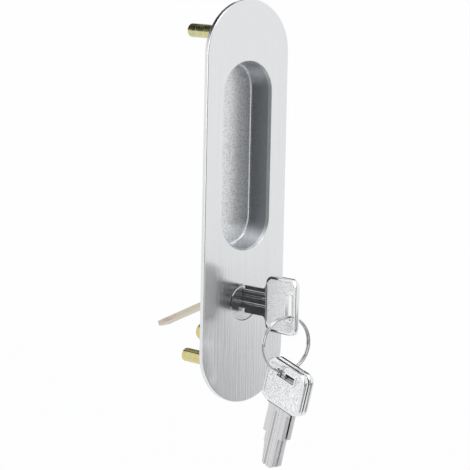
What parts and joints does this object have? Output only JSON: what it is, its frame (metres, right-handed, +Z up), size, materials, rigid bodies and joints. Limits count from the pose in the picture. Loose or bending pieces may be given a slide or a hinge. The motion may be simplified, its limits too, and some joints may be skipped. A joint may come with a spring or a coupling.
{
  "type": "sliding patio door lock",
  "caption": "Oval flush plate with a finger cup, key cylinder, hinged tailpiece, threaded posts and a ring of spare keys.",
  "frame": {"origin": "middle of the face plate's rear face, which seats on the door", "axes": "X to the right as seen from the room, +Y into the door, +Z up along the plate"},
  "size_m": [0.042, 0.0917, 0.1825],
  "materials": {
    "plate_satin": "satin, fine vertical brushing",
    "cup_satin": "bead blasted floor, smooth wall",
    "zinc_yellow": "yellow passivated zinc plating on steel",
    "cylinder_nickel": "nickel plated brass, satin",
    "pin_brass": "bare turned brass",
    "spring_steel": "bright spring steel",
    "key_head_chrome": "chromed die cast head, grained field",
    "key_blade_nickel": "nickel plated, milled grooves"
  },
  "bodies": {
    "lock_base": {"face_plate": "plate_satin", "pull_cup": "cup_satin", "upper_post": "zinc_yellow", "lower_post": "zinc_yellow", "cylinder_body": "cylinder_nickel", "spring_cover": "pin_brass", "cylinder_retainer": "zinc_yellow", "retainer_screw_left": "zinc_yellow", "retainer_screw_right": "zinc_yellow", "driver_pin_1": "pin_brass", "driver_pin_2": "pin_brass", "driver_pin_3": "pin_brass", "driver_pin_4": "pin_brass", "pin_spring_1": "spring_steel", "pin_spring_2": "spring_steel", "pin_spring_3": "spring_steel", "pin_spring_4": "spring_steel"},
    "plug": {"cylinder_plug": "cylinder_nickel", "plug_clip": "spring_steel", "tail_pin": "spring_steel", "key_pin_1": "pin_brass", "key_pin_2": "pin_brass", "key_pin_3": "pin_brass", "key_pin_4": "pin_brass"},
    "tail": {"tailpiece": "zinc_yellow"},
    "key": {"key_head": "key_head_chrome", "key_blade": "key_blade_nickel"},
    "ring": {"key_ring": "spring_steel"},
    "spare_key_1": {"spare_key_1_head": "key_head_chrome", "spare_key_1_blade": "key_blade_nickel"},
    "spare_key_2": {"spare_key_2_head": "key_head_chrome", "spare_key_2_blade": "key_blade_nickel"}
  },
  "joints": [
    {"name": "plug_turn", "type": "hinge", "parent": "lock_base", "child": "plug", "pos_m": [0, 0, -0.04], "axis": [0, 1, 0], "range_deg": [-90, 90]},
    {"name": "tail_droop", "type": "hinge", "parent": "plug", "child": "tail", "pos_m": [0, 0.0143, -0.04], "axis": [1, 0, 0], "range_deg": [0, 47]},
    {"name": "key_insert", "type": "slide", "parent": "plug", "child": "key", "axis": [0, -1, 0], "range_m": [0, 0.016]},
    {"name": "ring_swing", "type": "hinge", "parent": "key", "child": "ring", "pos_m": [0, -0.0291, -0.0419], "axis": [0.989, -0.1478, 0], "range_deg": [-45, 8]},
    {"name": "spare_key_1_swing", "type": "hinge", "parent": "ring", "child": "spare_key_1", "pos_m": [-0.00288, -0.02867, -0.0632], "axis": [1, 0, 0], "range_deg": [-30, 8]},
    {"name": "spare_key_2_swing", "type": "hinge", "parent": "ring", "child": "spare_key_2", "pos_m": [-0.00028, -0.02906, -0.0632], "axis": [1, 0, 0], "range_deg": [-30, 8]}
  ]
}
